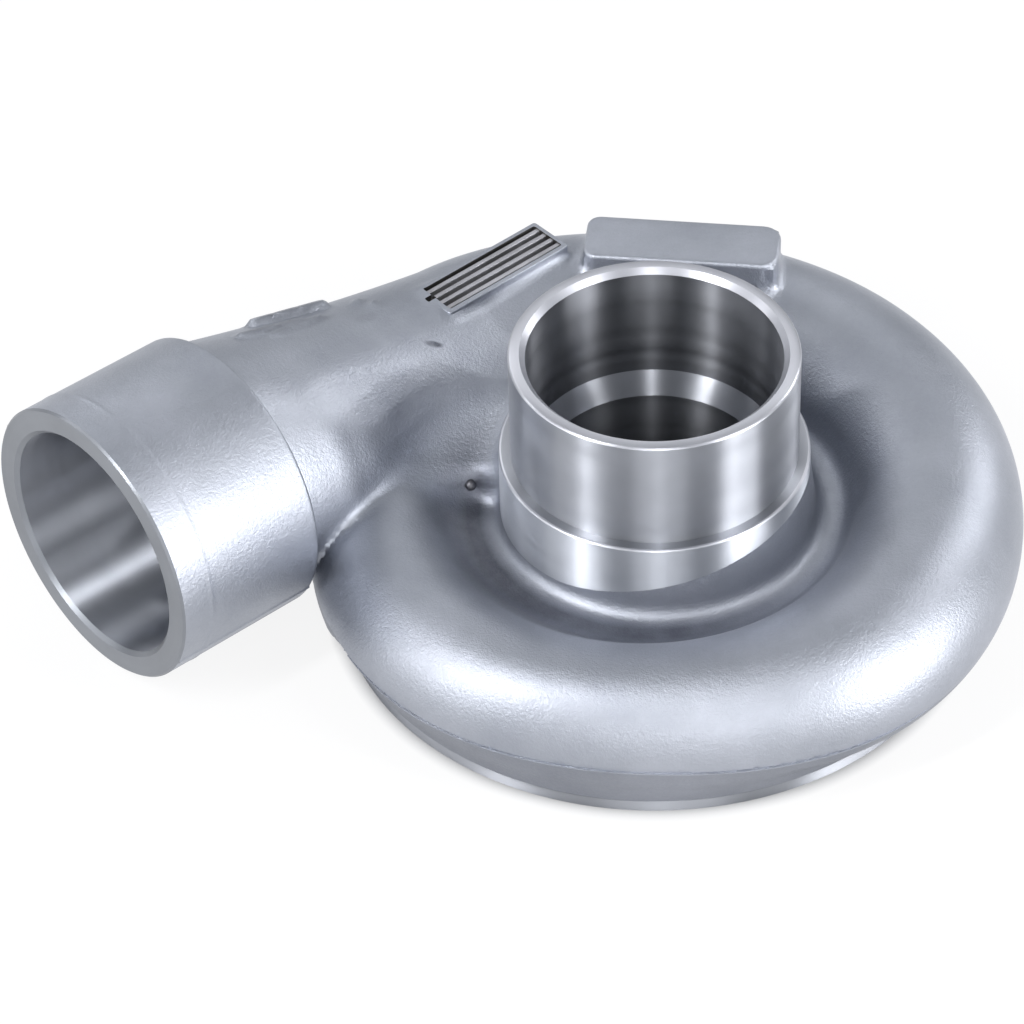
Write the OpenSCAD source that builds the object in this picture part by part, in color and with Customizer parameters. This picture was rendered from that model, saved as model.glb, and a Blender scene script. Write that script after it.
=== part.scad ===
// Scroll housing of a turbo compressor: one aluminium casting with turned seats.
// Origin on the inlet axis at the mounting face, Z towards the inlet,
// X to the right and Y to the rear. All sizes in millimetres.

/* [Inlet] */
// Outer diameter of the turned inlet
inlet_od = 102; // [100:0.5:104]
// Bore of the inlet
inlet_bore = 90; // [86:0.5:91]
// Height of the inlet rim above the mounting face
inlet_top = 110; // [107:0.5:114]
// Chamfer at the inner edge of the rim
rim_chamfer = 2; // [1:0.25:2.5]
// Height at which the inlet bore ends
bore_floor = 64; // [62:0.5:66]
// Bore around the compressor wheel
inducer_bore = 80; // [78:0.5:81]
// Height at which the tapered lead-in ends
inducer_top = 56; // [54:0.5:58]

/* [Hub] */
// Diameter of the turned collar under the inlet
collar_od = 110.4; // [109:0.2:112]
// Height of the collar's flat top
collar_top = 67; // [65:0.5:69]
// Diameter of the cast hub at the collar's top
hub_top_d = 106.2; // [105:0.2:107]
// Diameter of the cast hub at the trough floor
hub_foot_d = 113.4; // [112:0.2:114]
// Shift of the cast hub against the turned collar
hub_shift = 1.4; // [1:0.1:1.8]
// Height of the trough floor around the hub
trough_z = 37; // [35:0.5:39]

// Radius of the trough's outer corner
trough_r = 6; // [4:0.5:6.5]

/* [Scroll] */
// Inner radius of the scroll where the trough ends
scroll_inner_r = 70; // [69:0.5:71]
// Outer radius of the scroll under the outlet
scroll_r_start = 123.6; // [121:0.2:126]
// Outer radius of the scroll at the front
scroll_r_front = 119.7; // [118:0.1:122]
// Outer radius of the scroll at the front right
scroll_r_turn = 129.6; // [127:0.2:131]
// Outer radius of the scroll at the right
scroll_r_right = 132; // [130:0.5:134]
// Outer radius of the scroll at the rear
scroll_r_rear = 133.6; // [132:0.2:136]
// Height of the scroll's crest at the front
crest_front = 53; // [51:0.5:55]
// Height of the scroll's crest at the right
crest_right = 66; // [64:0.5:68]
// Height of the scroll's crest at the rear
crest_rear = 72.8; // [71:0.2:75]
// Wall of the casting around the air passage
wall = 6; // [5:0.25:7]

/* [Outlet] */
// Outer diameter of the outlet's end
outlet_od = 104.4; // [102:0.2:106]
// Bore of the outlet's end
outlet_bore = 85; // [83:0.5:87]
// Length of the outlet's thick end
outlet_len = 60; // [56:1:64]
// Distance from the tangent point to the outlet face
outlet_reach = 169.8; // [165:0.2:175]
// Distance of the outlet axis from the inlet axis
outlet_offset = 106; // [104:0.5:108]
// Height of the outlet axis at its face
outlet_z = 54.8; // [54.4:0.1:57]
// Rise of the outlet axis in degrees
outlet_rise = 1.5; // [1:0.25:2]
// Heading of the outlet in degrees
outlet_heading = 223.1; // [221:0.1:226]
// Radius of the tube where it leaves the scroll
tube_r_start = 36; // [35:0.25:37]
// Radius of the tube just before the thick end
tube_r_end = 49; // [48:0.25:50]

/* [Mounting side] */
// Outer diameter of the turned flange
flange_od = 228; // [224:1:232]
// Height of the turned flange edge
flange_h = 4; // [3:0.5:5]
// Outer diameter of the cast wall above the flange
skirt_od = 235; // [232:1:237]
// Height at which the cast wall ends
skirt_top = 21; // [18:1:23]
// Diameter of the register bore
register_d = 200; // [198:0.5:202]
// Depth of the register bore
register_depth = 8; // [7:0.5:9]
// Height of the flat diffuser face
diffuser_z = 14; // [13:0.5:15]
// Radius at which the wheel contour ends
contour_r = 62; // [60:0.5:64]
// Outer radius of the diffuser recess
diffuser_r = 86.5; // [86:0.25:87]
// Inner radius of the slot into the air passage
slot_in_r = 83; // [82.5:0.25:84]
// Outer radius of the slot into the air passage
slot_r = 91; // [90:0.25:92]
// Tap drill of the mounting screws
screw_drill = 5; // [4.8:0.1:5.4]
// Depth of the tapped holes
screw_depth = 9; // [8:0.5:9.5]
// Pitch circle of the mounting screws
screw_pcd = 214; // [212:0.5:216]
// Number of mounting screws
screw_count = 8; // [6:1:10]

/* [Web] */
// Height of the web's front edge, where the trough begins
web_low = 48; // [46:0.5:49]
// Height of the web's flat top behind the slope
web_top = 61; // [58:0.5:63]
// Distance of the web's front edge behind the inlet axis
web_front = 6; // [4:0.5:9]
// Outer radius of the web
web_r = 85; // [82:0.5:86]

/* [Raised marks] */
// Length of the flat rear pad
pad_len = 72; // [68:1:76]
// Depth of the flat rear pad
pad_w = 24.5; // [22:0.5:27]
// Height of the rear pad's flat top
pad_top = 82; // [80:0.5:84]
// Length of the framed tray
tray_len = 58; // [54:1:62]
// Width of the framed tray
tray_w = 19; // [17:0.5:21]
// Height of the tray's rim
tray_top = 80; // [79:0.5:82]
// Depth of the tray's recess
tray_depth = 3; // [2:0.25:3.5]
// Width of the tray's frame
tray_frame = 1.8; // [1.5:0.1:2.2]
// Number of ribs in the tray
tray_ribs = 4; // [3:1:5]
// Distance of the rear pad's middle behind the inlet axis
pad_y = 97.2; // [96:0.2:98]
// Distance of the tray's middle behind the inlet axis
tray_y = 84.2; // [83:0.2:85]
// Length of the cast ledge on the tube
ledge_len = 26; // [22:0.5:30]
// Width of the cast ledge on the tube
ledge_w = 8; // [7:0.5:9]
// Height of the ledge's flat top
ledge_top = 87.2; // [86.8:0.1:88]

/* [View] */
// Part to build

/* [Hidden] */
$fn = 64;
// Small overlap between joined or cut shapes
eps = 0.5;
// Azimuth of the tangent point and step between the scroll's control azimuths
tangent_az = outlet_heading - 90;
key_step = 45;
// First control azimuth of the scroll
key_first = -225;
// Scroll shape at the control azimuths: outer radius, crest height, height of the widest point
tube_r0 = tube_r_start;
tube_z0 = tube_r_start + 5.3;
tangent_out = outlet_offset + tube_r0;
key_out = [scroll_r_start, scroll_r_start, scroll_r_start, scroll_r_front, scroll_r_turn, scroll_r_right,
    scroll_r_right + 1, scroll_r_rear, tangent_out];
key_crest = [crest_front - 3, crest_front - 3, crest_front - 2, crest_front, (crest_front + crest_right) / 2,
    crest_right, (crest_right + crest_rear) / 2, crest_rear, tube_z0 + tube_r0];
key_mid = [22, 22, 22, 23, 28, 34, 38, 40.5, tube_z0];
// Points round a section of the skin and of the air passage
skin_points = 24;
duct_points = 16;
// Sides of the slot ring
slot_sides = 60;
// Azimuth at which the two halves meet, and the steps round each
split_az = 0;
front_steps = 24;
rear_steps = 16;
// First azimuth of the skin and of the passage
skin_first = -209;
duct_first = -172;
// Lowest point of the scroll's skin and of the passage
skin_floor = 6;
duct_floor = 15;
// Sideways place and turn of the rear pad, and place of the tray
pad_x = 10.3;
pad_turn = -5.5;
tray_x = -59.2;
// Corner radii of the rear pad, left and right
pad_r_left = 5;
pad_r_right = 7;
// Heights inside the casting at which the pad, the tray and the ledge begin
pad_foot = 58;
tray_foot = 62;
ledge_foot = 60;
// Distance along the tube of the ledge's middle, and of its middle line from the tube's axis
ledge_s = 60;
ledge_v = 20.5;
// Tangent point, heading and face centre of the outlet
heading = [cos(outlet_heading), sin(outlet_heading)];
tangent_pt = outlet_offset * [cos(tangent_az), sin(tangent_az)];
outlet_face = [tangent_pt[0] + outlet_reach * heading[0], tangent_pt[1] + outlet_reach * heading[1], outlet_z];
// Distance along the tube at which the thick end starts, and its height there
neck_s = outlet_reach - outlet_len;
neck_z = outlet_z - outlet_len * sin(outlet_rise);
// Distances along the tube at which its section is given
tube_s = [0.1, 0.3, 0.5, 0.7, 0.88, 1.02];

// Smooth value between evenly spaced control values
function key_at(v, az) =
    let (t = (az - key_first) / key_step, n = len(v) - 1, i = min(floor(t), n - 1), f = t - i,
        a = v[max(i - 1, 0)], b = v[i], c = v[i + 1], d = v[min(i + 2, n)])
    b + 0.5 * f * (c - a + f * (2 * a - 5 * b + 4 * c - d + f * (3 * (b - c) + d - a)));

// Section of an ellipse with its own upper and lower half, in the upright plane at azimuth az
function section(az, rc, h, zc, up, down, n) =
    [for (k = [0 : n - 1]) let (a = 360 * k / n, r = rc + h * cos(a))
        [r * cos(az), r * sin(az), zc + (sin(a) > 0 ? up : down) * sin(a)]];

// Round section of the tube at distance s from the tangent point
function tube_section(s, zc, r, n) =
    [for (k = [0 : n - 1]) let (a = 360 * k / n, u = outlet_offset + r * cos(a))
        [u * cos(tangent_az) + s * heading[0], u * sin(tangent_az) + s * heading[1], zc + r * sin(a)]];

// Tube radius and centre height at share q of the way to the thick end
function tube_r(q) = tube_r0 + (tube_r_end - tube_r0) * (0.55 * q + 0.45 * q * q);
function tube_z(q) = tube_z0 + (neck_z - tube_z0) * q;

// Skin section at azimuth az
function skin_section(az) =
    let (ro = key_at(key_out, az), zt = key_at(key_crest, az), zc = key_at(key_mid, az))
    section(az, (ro + scroll_inner_r) / 2, (ro - scroll_inner_r) / 2, zc, zt - zc, zc - skin_floor, skin_points);

// Passage section at azimuth az: narrow at the tongue, wall-deep inside the skin at the end
function duct_section(az) =
    let (t = (az - duct_first) / (tangent_az - duct_first), ro = key_at(key_out, az), zt = key_at(key_crest, az),
        h = min(8 + (tube_r0 - wall - 8) * t, (ro - scroll_inner_r) / 2 - wall),
        low = duct_floor - (duct_floor - tube_z0 + tube_r0 - wall) * pow(t, 4),
        high = min(zt - wall, low + 2.2 * h))
    section(az, (ro + scroll_inner_r) / 2, h, (low + high) / 2, (high - low) / 2, (high - low) / 2, duct_points);

// Closed skin through a list of sections with the same number of points
module sweep(rows) {
    m = len(rows[0]);
    n = len(rows);
    points = [for (row = rows) each row];
    faces = concat(
        [[for (k = [m - 1 : -1 : 0]) k]],
        [for (j = [0 : n - 2], k = [0 : m - 1])
            [j * m + k, j * m + (k + 1) % m, (j + 1) * m + (k + 1) % m, (j + 1) * m + k]],
        [[for (k = [0 : m - 1]) (n - 1) * m + k]]);
    polyhedron(points = points, faces = faces, convexity = 10);
}

// Outer skin: the front half of the scroll, then the rear half with the tube, face to face
module scroll_skin() {
    sweep([for (i = [0 : front_steps]) skin_section(skin_first + (split_az - skin_first) * i / front_steps)]);
    sweep(concat(
        [for (i = [0 : rear_steps]) skin_section(split_az + (tangent_az - split_az) * i / rear_steps)],
        [for (q = tube_s) tube_section(q * neck_s, tube_z(q), tube_r(q), skin_points)]));
}

// Air passage inside the scroll and the tube, in the same two halves
module air_passage() {
    sweep([for (i = [0 : front_steps]) duct_section(duct_first + (split_az - duct_first) * i / front_steps)]);
    sweep(concat(
        [for (i = [0 : rear_steps]) duct_section(split_az + (tangent_az - split_az) * i / rear_steps)],
        [for (q = tube_s) tube_section(q * neck_s, tube_z(q), tube_r(q) - wall - 1.5 * q, duct_points)]));
}

// Places its children on the outlet axis, Z out of the outlet, starting at distance d before the face
module on_outlet(d) {
    translate(outlet_face) rotate([0, 90 - outlet_rise, outlet_heading]) translate([0, 0, -d]) children();
}

// Thick end of the outlet
module outlet_end() {
    on_outlet(outlet_len) cylinder(h = outlet_len, d = outlet_od);
}

// Bore of the outlet with its chamfer
module outlet_cut() {
    on_outlet(outlet_len + 2) cylinder(h = outlet_len + 2 + eps, d = outlet_bore);
    on_outlet(1.5) cylinder(h = 1.5 + eps, d1 = outlet_bore, d2 = outlet_bore + 3 + 2 * eps);
}

// Turned and cast middle with the flange: inlet, collar, trough floor, skirt and flange edge
module centre_body() {
    rotate_extrude()
        polygon(concat(
            [[0, 0], [flange_od / 2, 0], [flange_od / 2, flange_h], [skirt_od / 2, flange_h], [skirt_od / 2, skirt_top],
                [slot_r - 3, skirt_top], [slot_r - 5, trough_z + 2], [scroll_inner_r + 6, trough_z + 6]],
            [for (k = [0 : 5]) let (a = 90 - 18 * k)
                [scroll_inner_r + 1 - trough_r + trough_r * sin(a), trough_z + trough_r * (1 - cos(a))]],
            [[collar_od / 2, trough_z], [collar_od / 2, collar_top], [inlet_od / 2, collar_top],
                [inlet_od / 2, inlet_top], [0, inlet_top]]));
}

// Cast hub, a little out of line with the turned collar
module hub() {
    translate([hub_shift, 0, trough_z - 5])
        cylinder(h = collar_top - trough_z + 4.6, d1 = hub_foot_d + 1.2, d2 = hub_top_d);
}

// Slot from the diffuser into the air passage, with flat sides
module slot_cut() {
    translate([0, 0, register_depth - 2])
        linear_extrude(height = duct_floor + 17 - register_depth)
            difference() {
                polygon([for (k = [0 : slot_sides - 1]) slot_r * [cos(360 * (k + 0.5) / slot_sides), sin(360 * (k + 0.5) / slot_sides)]]);
                polygon([for (k = [0 : slot_sides - 1]) slot_in_r * [cos(360 * (k + 0.5) / slot_sides), sin(360 * (k + 0.5) / slot_sides)]]);
            }
}

// Bores on the inlet axis, wheel contour, diffuser face and register
module centre_cut() {
    w = contour_r - inducer_bore / 2;
    rotate_extrude()
        polygon(concat(
            [[0, -eps], [register_d / 2, -eps], [register_d / 2, register_depth], [diffuser_r, register_depth],
                [diffuser_r, diffuser_z]],
            [for (k = [0 : 6]) let (a = 15 * k) [contour_r - w * sin(a), diffuser_z + w * (1 - cos(a))]],
            [[inducer_bore / 2, inducer_top], [inlet_bore / 2, bore_floor], [inlet_bore / 2, inlet_top - rim_chamfer],
                [inlet_bore / 2 + rim_chamfer + eps, inlet_top + eps], [0, inlet_top + eps]]));
}

// Tapped holes of the mounting side
module screw_holes() {
    for (k = [0 : screw_count - 1])
        rotate([0, 0, 360 * (k + 0.5) / screw_count])
            translate([screw_pcd / 2, 0, -eps]) cylinder(h = screw_depth + eps, d = screw_drill, $fn = 32);
}

// Web that closes the trough between the hub and the tube, with a sloping top
module trough_web() {
    intersection() {
        translate([-web_r - 5, 0, 0]) rotate([90, 0, 90])
            linear_extrude(height = web_r - 35)
                polygon([[web_front, trough_z - 7], [web_front, web_low],
                    [web_front + 2 * (web_top - web_low), web_top], [web_front + 58, web_top], [web_front + 58, trough_z - 7]]);
        cylinder(h = web_top + 5, r = web_r);
    }
}

// One quarter-rounded corner of the rear pad
module pad_corner(x, y, r) {
    translate([x - sign(x) * r, y - sign(y) * r, 0]) cylinder(h = pad_top - pad_foot, r = r, $fn = 48);
}

// Flat pad at the rear with rounded ends
module rear_pad() {
    inner_len = pad_len - pad_r_left - pad_r_right;
    translate([pad_x, pad_y, pad_foot]) rotate([0, 0, pad_turn]) {
        translate([-pad_len / 2 + pad_r_left, -pad_w / 2, 0]) cube([inner_len, pad_w, pad_top - pad_foot]);
        translate([-pad_len / 2, -pad_w / 2 + pad_r_left, 0])
            cube([pad_len, pad_w - pad_r_left - pad_r_right, pad_top - pad_foot]);
        for (s = [-1, 1]) {
            pad_corner(-pad_len / 2, s * pad_w / 2, pad_r_left);
            pad_corner(pad_len / 2, s * pad_w / 2, pad_r_right);
        }
    }
}

// Framed tray with ribs along it
module framed_tray() {
    depth_z = tray_top - tray_foot - tray_depth;
    translate([tray_x, tray_y, tray_foot]) rotate([0, 0, outlet_heading - 180]) {
        difference() {
            translate([-tray_len / 2, -tray_w / 2, 0]) cube([tray_len, tray_w, tray_top - tray_foot]);
            translate([-tray_len / 2 + tray_frame, -tray_w / 2 + tray_frame, depth_z])
                cube([tray_len - 2 * tray_frame, tray_w - 2 * tray_frame, tray_depth + eps]);
        }
        for (k = [1 : tray_ribs])
            translate([-tray_len / 2 + 1, -tray_w / 2 + k * tray_w / (tray_ribs + 1) - 0.6, depth_z - eps])
                cube([tray_len - 2, 1.2, tray_depth - 0.5 + eps]);
    }
}

// Cast ledge along the rear of the tube
module tube_ledge() {
    translate([tangent_pt[0] + ledge_s * heading[0], tangent_pt[1] + ledge_s * heading[1], ledge_foot])
        rotate([0, 0, outlet_heading - 180]) translate([-ledge_len / 2, ledge_v - ledge_w / 2, 0])
            cube([ledge_len, ledge_w, ledge_top - ledge_foot]);
}

// The casting before its bores are turned
module raw_casting() {
    centre_body();
    hub();
    outlet_end();
    scroll_skin();
    trough_web();
    rear_pad();
    framed_tray();
    tube_ledge();
}

module compressor_housing() {
    color([0.72, 0.74, 0.77])
        difference() {
            difference() {
                difference() {
                    difference() {
                        raw_casting();
                        centre_cut();
                    }
                    outlet_cut();
                }
                union() {
                    air_passage();
                    slot_cut();
                }
            }
            screw_holes();
        }
}

compressor_housing();
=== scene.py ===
import math

import bmesh
import bpy
import numpy as np
from mathutils import Euler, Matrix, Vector


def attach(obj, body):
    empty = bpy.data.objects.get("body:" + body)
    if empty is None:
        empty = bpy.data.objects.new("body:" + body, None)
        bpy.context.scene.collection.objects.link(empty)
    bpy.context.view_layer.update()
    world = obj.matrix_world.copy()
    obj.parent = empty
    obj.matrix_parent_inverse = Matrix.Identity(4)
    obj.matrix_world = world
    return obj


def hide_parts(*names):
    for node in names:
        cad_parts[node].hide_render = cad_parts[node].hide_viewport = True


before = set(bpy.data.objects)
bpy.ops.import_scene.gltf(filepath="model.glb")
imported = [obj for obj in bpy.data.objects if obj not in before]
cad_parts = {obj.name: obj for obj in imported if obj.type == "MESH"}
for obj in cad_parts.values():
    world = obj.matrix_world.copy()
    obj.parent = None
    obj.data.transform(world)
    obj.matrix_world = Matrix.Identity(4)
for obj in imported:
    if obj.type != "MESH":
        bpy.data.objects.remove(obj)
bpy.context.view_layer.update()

# All shapes are worked out in millimetres, in the frame of the CAD part
MM = 0.001

# Sizes of the casting, after the part's source. Outlet and tube:
TANGENT_AZ = 133.1
OUTLET_HEADING = 223.1
OUTLET_OFFSET = 106.0
OUTLET_REACH = 169.8
OUTLET_LEN = 60.0
OUTLET_Z = 54.8
OUTLET_RISE = 1.5
OUTLET_R = 52.2
OUTLET_BORE_R = 42.5
TUBE_R_START = 36.0
TUBE_R_END = 49.0
TUBE_START_Z = TUBE_R_START + 5.3
NECK_S = OUTLET_REACH - OUTLET_LEN
NECK_Z = OUTLET_Z - OUTLET_LEN * math.sin(math.radians(OUTLET_RISE))

# Scroll and air passage
SCROLL_IN = 70.0
WALL = 6.0
DUCT_FIRST = -172.0
DUCT_FLOOR = 15.0

# Trough, hub, collar and inlet
TROUGH_Z = 37.0
HUB_SHIFT = 1.4
HUB_FOOT_R = 56.7
HUB_TAPER = 3.6 / 29.6
COLLAR_R = 55.2
COLLAR_TOP = 67.0
INLET_R = 51.0
INLET_TOP = 110.0
INLET_BORE_R = 45.0
BORE_FLOOR = 64.0

# Wheel contour, diffuser face and slot
INDUCER_R = 40.0
INDUCER_TOP = 56.0
CONTOUR_R = 62.0
DIFFUSER_R = 86.5
DIFFUSER_Z = 14.0
SLOT_R = (83.0, 91.0)

# Mounting side
REGISTER_R = 100.0
REGISTER_DEPTH = 8.0
FLANGE_R = 114.0
FLANGE_TOP = 4.4
SCREW_PITCH_R = 107.0
SCREW_COUNT = 8
SCREW_R = 2.5
SCREW_DEPTH = 9.0

# Rear pad and framed tray
PAD_CENTRE = (10.3, 97.2)
PAD_ANGLE = -5.5
PAD_SIZE = (72.0, 24.5)
PAD_TOP = 82.0
TRAY_CENTRE = (-59.2, 84.2)
TRAY_ANGLE = OUTLET_HEADING - 180
TRAY_SIZE = (58.0, 19.0)
TRAY_TOP = 80.0
TRAY_DEPTH = 3.0
TRAY_FRAME = 1.8
TRAY_RIBS = 4

# Scroll at its control azimuths: outer radius, height of the crest and of the middle
KEY_AZ = np.arange(-225.0, 136.0, 45.0)
KEY_OUT = np.array([123.6, 123.6, 123.6, 119.7, 129.6, 132.0, 133.0, 133.6, 142.0])
KEY_CREST = np.array([50.0, 50.0, 51.0, 53.0, 59.5, 66.0, 69.4, 72.8, 77.3])
KEY_MID = np.array([22.0, 22.0, 22.0, 23.0, 28.0, 34.0, 38.0, 40.5, 41.3])

# Directions of the outlet and across it, seen from above, and its face and axis
HEADING = np.array(
    [math.cos(math.radians(OUTLET_HEADING)), math.sin(math.radians(OUTLET_HEADING))]
)
TANGENT = np.array(
    [math.cos(math.radians(TANGENT_AZ)), math.sin(math.radians(TANGENT_AZ))]
)
FACE_CENTRE = np.array(
    [
        OUTLET_OFFSET * TANGENT[0] + OUTLET_REACH * HEADING[0],
        OUTLET_OFFSET * TANGENT[1] + OUTLET_REACH * HEADING[1],
        OUTLET_Z,
    ]
)
OUTLET_AXIS = np.array(
    [
        HEADING[0] * math.cos(math.radians(OUTLET_RISE)),
        HEADING[1] * math.cos(math.radians(OUTLET_RISE)),
        math.sin(math.radians(OUTLET_RISE)),
    ]
)

# Slots of the materials on every piece, in this order
CAST, TURNED, FACED, BORED, DARK, RIB, INNER, RIM, COLLAR = range(9)

# Height of the scroll's parting line at the front
PARTING_Z = 23.6

# Angle of the outlet's parting ridge in the outlet's own frame
PARTING_ANGLE = math.radians(62)


# Shapes as fields: negative inside, in millimetres
def key_at(values, az):
    """Smooth value between the control azimuths, as in the part's source."""
    t = np.clip((az - KEY_AZ[0]) / 45.0, 0, len(values) - 1)
    i = np.minimum(np.floor(t).astype(int), len(values) - 2)
    f = t - i
    a = values[np.maximum(i - 1, 0)]
    b = values[i]
    c = values[i + 1]
    d = values[np.minimum(i + 2, len(values) - 1)]
    return b + 0.5 * f * (
        c - a + f * (2 * a - 5 * b + 4 * c - d + f * (3 * (b - c) + d - a))
    )


def ellipse(u, w, a, b):
    """Near distance to an ellipse with half axes a and b."""
    k0 = np.sqrt((u / a) ** 2 + (w / b) ** 2)
    k1 = np.sqrt((u / a**2) ** 2 + (w / b**2) ** 2)
    return np.where(k0 > 1e-6, k0 * (k0 - 1) / np.maximum(k1, 1e-9), -np.minimum(a, b))


def smooth_min(a, b, k):
    """Union of two fields with a fillet of about size k."""
    k = np.maximum(k, 1e-6)
    h = np.maximum(k - np.abs(a - b), 0) / k
    return np.minimum(a, b) - h * h * k / 4


def smooth_max(a, b, k):
    """Cut of one field by another with an edge rounded by about k."""
    return -smooth_min(-a, -b, k)


def ramp(x, lo, hi):
    """0 below lo, 1 above hi and a smooth step between."""
    t = np.clip((x - lo) / (hi - lo), 0, 1)
    return t * t * (3 - 2 * t)


def azimuth(x, y):
    """Azimuth along the scroll, from TANGENT_AZ - 360 to TANGENT_AZ degrees."""
    az = np.degrees(np.arctan2(y, x))
    return np.where(az > TANGENT_AZ, az - 360, az)


def tube_axis(x, y):
    """Distance along the outlet's heading and distance from the inlet axis across it."""
    s = x * HEADING[0] + y * HEADING[1]
    u = x * TANGENT[0] + y * TANGENT[1]
    return s, u


def tube_size(s):
    """Share of the way to the neck, the tube's radius there and the height of its axis."""
    q = np.clip(s / NECK_S, 0, 1.02)
    r = TUBE_R_START + (TUBE_R_END - TUBE_R_START) * (0.55 * q + 0.45 * q * q)
    z = TUBE_START_Z + (NECK_Z - TUBE_START_Z) * q
    return q, r, z


def scroll_field(x, y, z):
    """The scroll: an ellipse that grows round the inlet axis."""
    az = azimuth(x, y)
    r = np.hypot(x, y)
    out = key_at(KEY_OUT, az)
    top = key_at(KEY_CREST, az)
    mid = key_at(KEY_MID, az)
    half = (out - SCROLL_IN) / 2
    up = np.where(z > mid, top - mid, mid - 6.0)
    return ellipse(r - (out + SCROLL_IN) / 2, z - mid, half, up)


def tube_field(x, y, z):
    """The tube from the scroll's end to the neck, less tapered on its side to the hub."""
    s, u = tube_axis(x, y)
    _, r, zc = tube_size(s)
    inner = ramp((OUTLET_OFFSET - u) / r, 0.2, 0.8) * ramp(s, 80, 95)
    r = r - (r - 45.6) * inner
    ring = np.hypot(u - OUTLET_OFFSET, z - zc) - r
    cap = np.maximum(-s, s - NECK_S - 3)
    return np.where(
        cap > 0, np.hypot(np.maximum(ring, 0), cap) + np.minimum(ring, 0), ring
    )


def along_outlet(x, y, z):
    """Distance before the outlet face and distance from the outlet axis."""
    dx = x - FACE_CENTRE[0]
    dy = y - FACE_CENTRE[1]
    dz = z - FACE_CENTRE[2]
    t = dx * OUTLET_AXIS[0] + dy * OUTLET_AXIS[1] + dz * OUTLET_AXIS[2]
    d = np.sqrt(np.maximum(dx * dx + dy * dy + dz * dz - t * t, 0))
    return -t, d


def turned_box(x, y, z, centre, angle, half, rounding):
    """Box with rounded edges, turned about Z."""
    c, s = math.cos(math.radians(angle)), math.sin(math.radians(angle))
    dx, dy = x - centre[0], y - centre[1]
    u = np.abs(dx * c + dy * s) - half[0] + rounding
    v = np.abs(-dx * s + dy * c) - half[1] + rounding
    w = np.abs(z - centre[2]) - half[2] + rounding
    outside = np.sqrt(
        np.maximum(u, 0) ** 2 + np.maximum(v, 0) ** 2 + np.maximum(w, 0) ** 2
    )
    return outside + np.minimum(np.maximum(u, np.maximum(v, w)), 0) - rounding


def segment(s, v, a, b):
    """Distance in the plane from (s, v) to the line from a to b."""
    ax, ay = a
    bx, by = b[0] - ax, b[1] - ay
    t = np.clip(((s - ax) * bx + (v - ay) * by) / (bx * bx + by * by), 0, 1)
    return np.hypot(s - ax - t * bx, v - ay - t * by)


# Worn cast marks on the tube: ends as (along the tube, across it), half width and height
TUBE_MARKS = (
    ((74.0, 23.5), (48.0, 20.0), 3.2, 2.6),
    ((87.0, 14.0), (64.0, 11.5), 2.2, 1.3),
    ((78.0, 7.5), (56.0, 10.0), 1.8, 0.9),
    ((38.5, 10.5), (36.0, 12.5), 1.6, 1.0),
    ((35.5, 5.0), (33.0, 7.0), 1.6, 0.9),
)


def tube_marks(s, u, z):
    """Height of the cast marks above the tube."""
    v = u - OUTLET_OFFSET
    height = np.zeros_like(s)
    for a, b, half, top in TUBE_MARKS:
        d = segment(s, v, a, b)
        height = np.maximum(height, top * (1 - ramp(d, half * 0.5, half * 1.5)))
    return np.where(z > 60, height, 0)


# Inner flank of the volute in front of the tray: radius at each height, at azimuth 175
FLANK_Z = (40.0, 54.0, 64.0, 72.0, 81.0, 90.0)
FLANK_R = (88.0, 89.3, 92.0, 96.3, 104.0, 116.0)


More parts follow.
